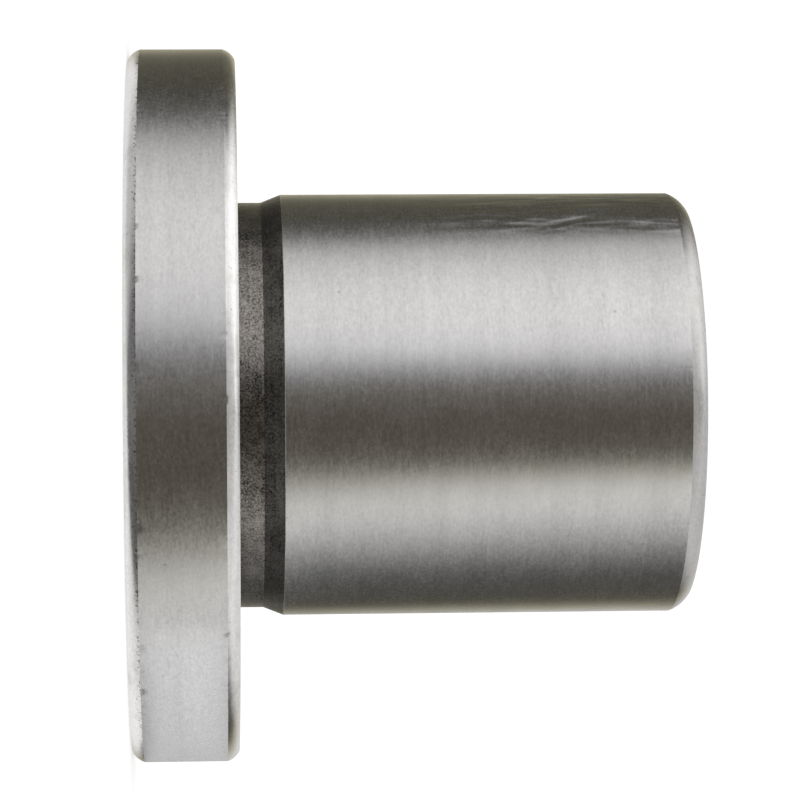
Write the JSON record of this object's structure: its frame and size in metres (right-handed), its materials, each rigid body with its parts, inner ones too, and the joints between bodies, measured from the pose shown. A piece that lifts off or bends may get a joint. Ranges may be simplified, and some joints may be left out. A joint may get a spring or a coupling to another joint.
{
  "type": "linear ball bushing",
  "caption": "Flanged linear ball bushing: a ground steel sleeve with a round screw flange holds ball circuits in a cage that roll along a shaft.",
  "frame": {"origin": "centre of the bore at the flange's outer face, on which the part stands", "axes": "+Z along the bore axis from the flange towards the barrel's free end; +X midway between two flange screw holes"},
  "size_m": [0.054, 0.054, 0.042],
  "materials": {
    "bearing_steel": "fine circumferential grinding, dark heat-treated neck",
    "ball_steel": "polished",
    "spring_steel": "oiled spring steel",
    "seal_core_steel": "pressed sheet, satin",
    "seal_rubber": "moulded, matt",
    "cage_resin": "moulded acetal, semi-matt"
  },
  "bodies": {
    "sleeve_assembly": {"flanged_sleeve": "bearing_steel", "ball_retainer": "cage_resin", "flange_end_retaining_ring": "spring_steel", "plain_end_retaining_ring": "spring_steel", "flange_end_seal_core": "seal_core_steel", "plain_end_seal_core": "seal_core_steel", "flange_end_seal_lip": "seal_rubber", "plain_end_seal_lip": "seal_rubber"},
    "circuit_1_load_balls": {"circuit_1_load_balls": "ball_steel"},
    "circuit_1_return_balls": {"circuit_1_return_balls": "ball_steel"},
    "circuit_1_plain_turn_balls": {"circuit_1_plain_turn_balls": "ball_steel"},
    "circuit_1_flange_turn_balls": {"circuit_1_flange_turn_balls": "ball_steel"},
    "circuit_2_load_balls": {"circuit_2_load_balls": "ball_steel"},
    "circuit_2_return_balls": {"circuit_2_return_balls": "ball_steel"},
    "circuit_2_plain_turn_balls": {"circuit_2_plain_turn_balls": "ball_steel"},
    "circuit_2_flange_turn_balls": {"circuit_2_flange_turn_balls": "ball_steel"},
    "circuit_3_load_balls": {"circuit_3_load_balls": "ball_steel"},
    "circuit_3_return_balls": {"circuit_3_return_balls": "ball_steel"},
    "circuit_3_plain_turn_balls": {"circuit_3_plain_turn_balls": "ball_steel"},
    "circuit_3_flange_turn_balls": {"circuit_3_flange_turn_balls": "ball_steel"},
    "circuit_4_load_balls": {"circuit_4_load_balls": "ball_steel"},
    "circuit_4_return_balls": {"circuit_4_return_balls": "ball_steel"},
    "circuit_4_plain_turn_balls": {"circuit_4_plain_turn_balls": "ball_steel"},
    "circuit_4_flange_turn_balls": {"circuit_4_flange_turn_balls": "ball_steel"},
    "circuit_5_load_balls": {"circuit_5_load_balls": "ball_steel"},
    "circuit_5_return_balls": {"circuit_5_return_balls": "ball_steel"},
    "circuit_5_plain_turn_balls": {"circuit_5_plain_turn_balls": "ball_steel"},
    "circuit_5_flange_turn_balls": {"circuit_5_flange_turn_balls": "ball_steel"}
  },
  "joints": [
    {"name": "circuit_1_load_row", "type": "slide", "parent": "sleeve_assembly", "child": "circuit_1_load_balls", "axis": [0, 0, 1], "range_m": [-0.0017, 0.0017]},
    {"name": "circuit_1_return_row", "type": "slide", "parent": "sleeve_assembly", "child": "circuit_1_return_balls", "axis": [0, 0, 1], "range_m": [-0.0017, 0.0017]},
    {"name": "circuit_1_plain_turn", "type": "hinge", "parent": "sleeve_assembly", "child": "circuit_1_plain_turn_balls", "pos_m": [0.00321, 0.0111, 0.03121], "axis": [0.1478, 0.9669, -0.2079], "range_deg": [-30, 30]},
    {"name": "circuit_1_flange_turn", "type": "hinge", "parent": "sleeve_assembly", "child": "circuit_1_flange_turn_balls", "pos_m": [0.00321, 0.0111, 0.01079], "axis": [0.1478, 0.9669, 0.2079], "range_deg": [-30, 30]},
    {"name": "circuit_2_load_row", "type": "slide", "parent": "sleeve_assembly", "child": "circuit_2_load_balls", "axis": [0, 0, 1], "range_m": [-0.0017, 0.0017]},
    {"name": "circuit_2_return_row", "type": "slide", "parent": "sleeve_assembly", "child": "circuit_2_return_balls", "axis": [0, 0, 1], "range_m": [-0.0017, 0.0017]},
    {"name": "circuit_2_plain_turn", "type": "hinge", "parent": "sleeve_assembly", "child": "circuit_2_plain_turn_balls", "pos_m": [-0.00956, 0.00648, 0.03121], "axis": [-0.8739, 0.4394, -0.2079], "range_deg": [-30, 30]},
    {"name": "circuit_2_flange_turn", "type": "hinge", "parent": "sleeve_assembly", "child": "circuit_2_flange_turn_balls", "pos_m": [-0.00956, 0.00648, 0.01079], "axis": [-0.8739, 0.4394, 0.2079], "range_deg": [-30, 30]},
    {"name": "circuit_3_load_row", "type": "slide", "parent": "sleeve_assembly", "child": "circuit_3_load_balls", "axis": [0, 0, 1], "range_m": [-0.0017, 0.0017]},
    {"name": "circuit_3_return_row", "type": "slide", "parent": "sleeve_assembly", "child": "circuit_3_return_balls", "axis": [0, 0, 1], "range_m": [-0.0017, 0.0017]},
    {"name": "circuit_3_plain_turn", "type": "hinge", "parent": "sleeve_assembly", "child": "circuit_3_plain_turn_balls", "pos_m": [-0.00912, -0.00709, 0.03121], "axis": [-0.6879, -0.6954, -0.2079], "range_deg": [-30, 30]},
    {"name": "circuit_3_flange_turn", "type": "hinge", "parent": "sleeve_assembly", "child": "circuit_3_flange_turn_balls", "pos_m": [-0.00912, -0.00709, 0.01079], "axis": [-0.6879, -0.6954, 0.2079], "range_deg": [-30, 30]},
    {"name": "circuit_4_load_row", "type": "slide", "parent": "sleeve_assembly", "child": "circuit_4_load_balls", "axis": [0, 0, 1], "range_m": [-0.0017, 0.0017]},
    {"name": "circuit_4_return_row", "type": "slide", "parent": "sleeve_assembly", "child": "circuit_4_return_balls", "axis": [0, 0, 1], "range_m": [-0.0017, 0.0017]},
    {"name": "circuit_4_plain_turn", "type": "hinge", "parent": "sleeve_assembly", "child": "circuit_4_plain_turn_balls", "pos_m": [0.00392, -0.01087, 0.03121], "axis": [0.4488, -0.8691, -0.2079], "range_deg": [-30, 30]},
    {"name": "circuit_4_flange_turn", "type": "hinge", "parent": "sleeve_assembly", "child": "circuit_4_flange_turn_balls", "pos_m": [0.00392, -0.01087, 0.01079], "axis": [0.4488, -0.8691, 0.2079], "range_deg": [-30, 30]},
    {"name": "circuit_5_load_row", "type": "slide", "parent": "sleeve_assembly", "child": "circuit_5_load_balls", "axis": [0, 0, 1], "range_m": [-0.0017, 0.0017]},
    {"name": "circuit_5_return_row", "type": "slide", "parent": "sleeve_assembly", "child": "circuit_5_return_balls", "axis": [0, 0, 1], "range_m": [-0.0017, 0.0017]},
    {"name": "circuit_5_plain_turn", "type": "hinge", "parent": "sleeve_assembly", "child": "circuit_5_plain_turn_balls", "pos_m": [0.01155, 0.00037, 0.03121], "axis": [0.9653, 0.1582, -0.2079], "range_deg": [-30, 30]},
    {"name": "circuit_5_flange_turn", "type": "hinge", "parent": "sleeve_assembly", "child": "circuit_5_flange_turn_balls", "pos_m": [0.01155, 0.00037, 0.01079], "axis": [0.9653, 0.1582, 0.2079], "range_deg": [-30, 30]}
  ],
  "couplings": [
    {"joint": "circuit_1_return_row", "follows": "circuit_1_load_row", "ratio": -1},
    {"joint": "circuit_1_plain_turn", "follows": "circuit_1_load_row", "rad_per_m": 307.69},
    {"joint": "circuit_1_flange_turn", "follows": "circuit_1_load_row", "rad_per_m": 307.69},
    {"joint": "circuit_2_return_row", "follows": "circuit_2_load_row", "ratio": -1},
    {"joint": "circuit_2_plain_turn", "follows": "circuit_2_load_row", "rad_per_m": 307.69},
    {"joint": "circuit_2_flange_turn", "follows": "circuit_2_load_row", "rad_per_m": 307.69},
    {"joint": "circuit_3_return_row", "follows": "circuit_3_load_row", "ratio": -1},
    {"joint": "circuit_3_plain_turn", "follows": "circuit_3_load_row", "rad_per_m": 307.69},
    {"joint": "circuit_3_flange_turn", "follows": "circuit_3_load_row", "rad_per_m": 307.69},
    {"joint": "circuit_4_return_row", "follows": "circuit_4_load_row", "ratio": -1},
    {"joint": "circuit_4_plain_turn", "follows": "circuit_4_load_row", "rad_per_m": 307.69},
    {"joint": "circuit_4_flange_turn", "follows": "circuit_4_load_row", "rad_per_m": 307.69},
    {"joint": "circuit_5_return_row", "follows": "circuit_5_load_row", "ratio": -1},
    {"joint": "circuit_5_plain_turn", "follows": "circuit_5_load_row", "rad_per_m": 307.69},
    {"joint": "circuit_5_flange_turn", "follows": "circuit_5_load_row", "rad_per_m": 307.69}
  ]
}
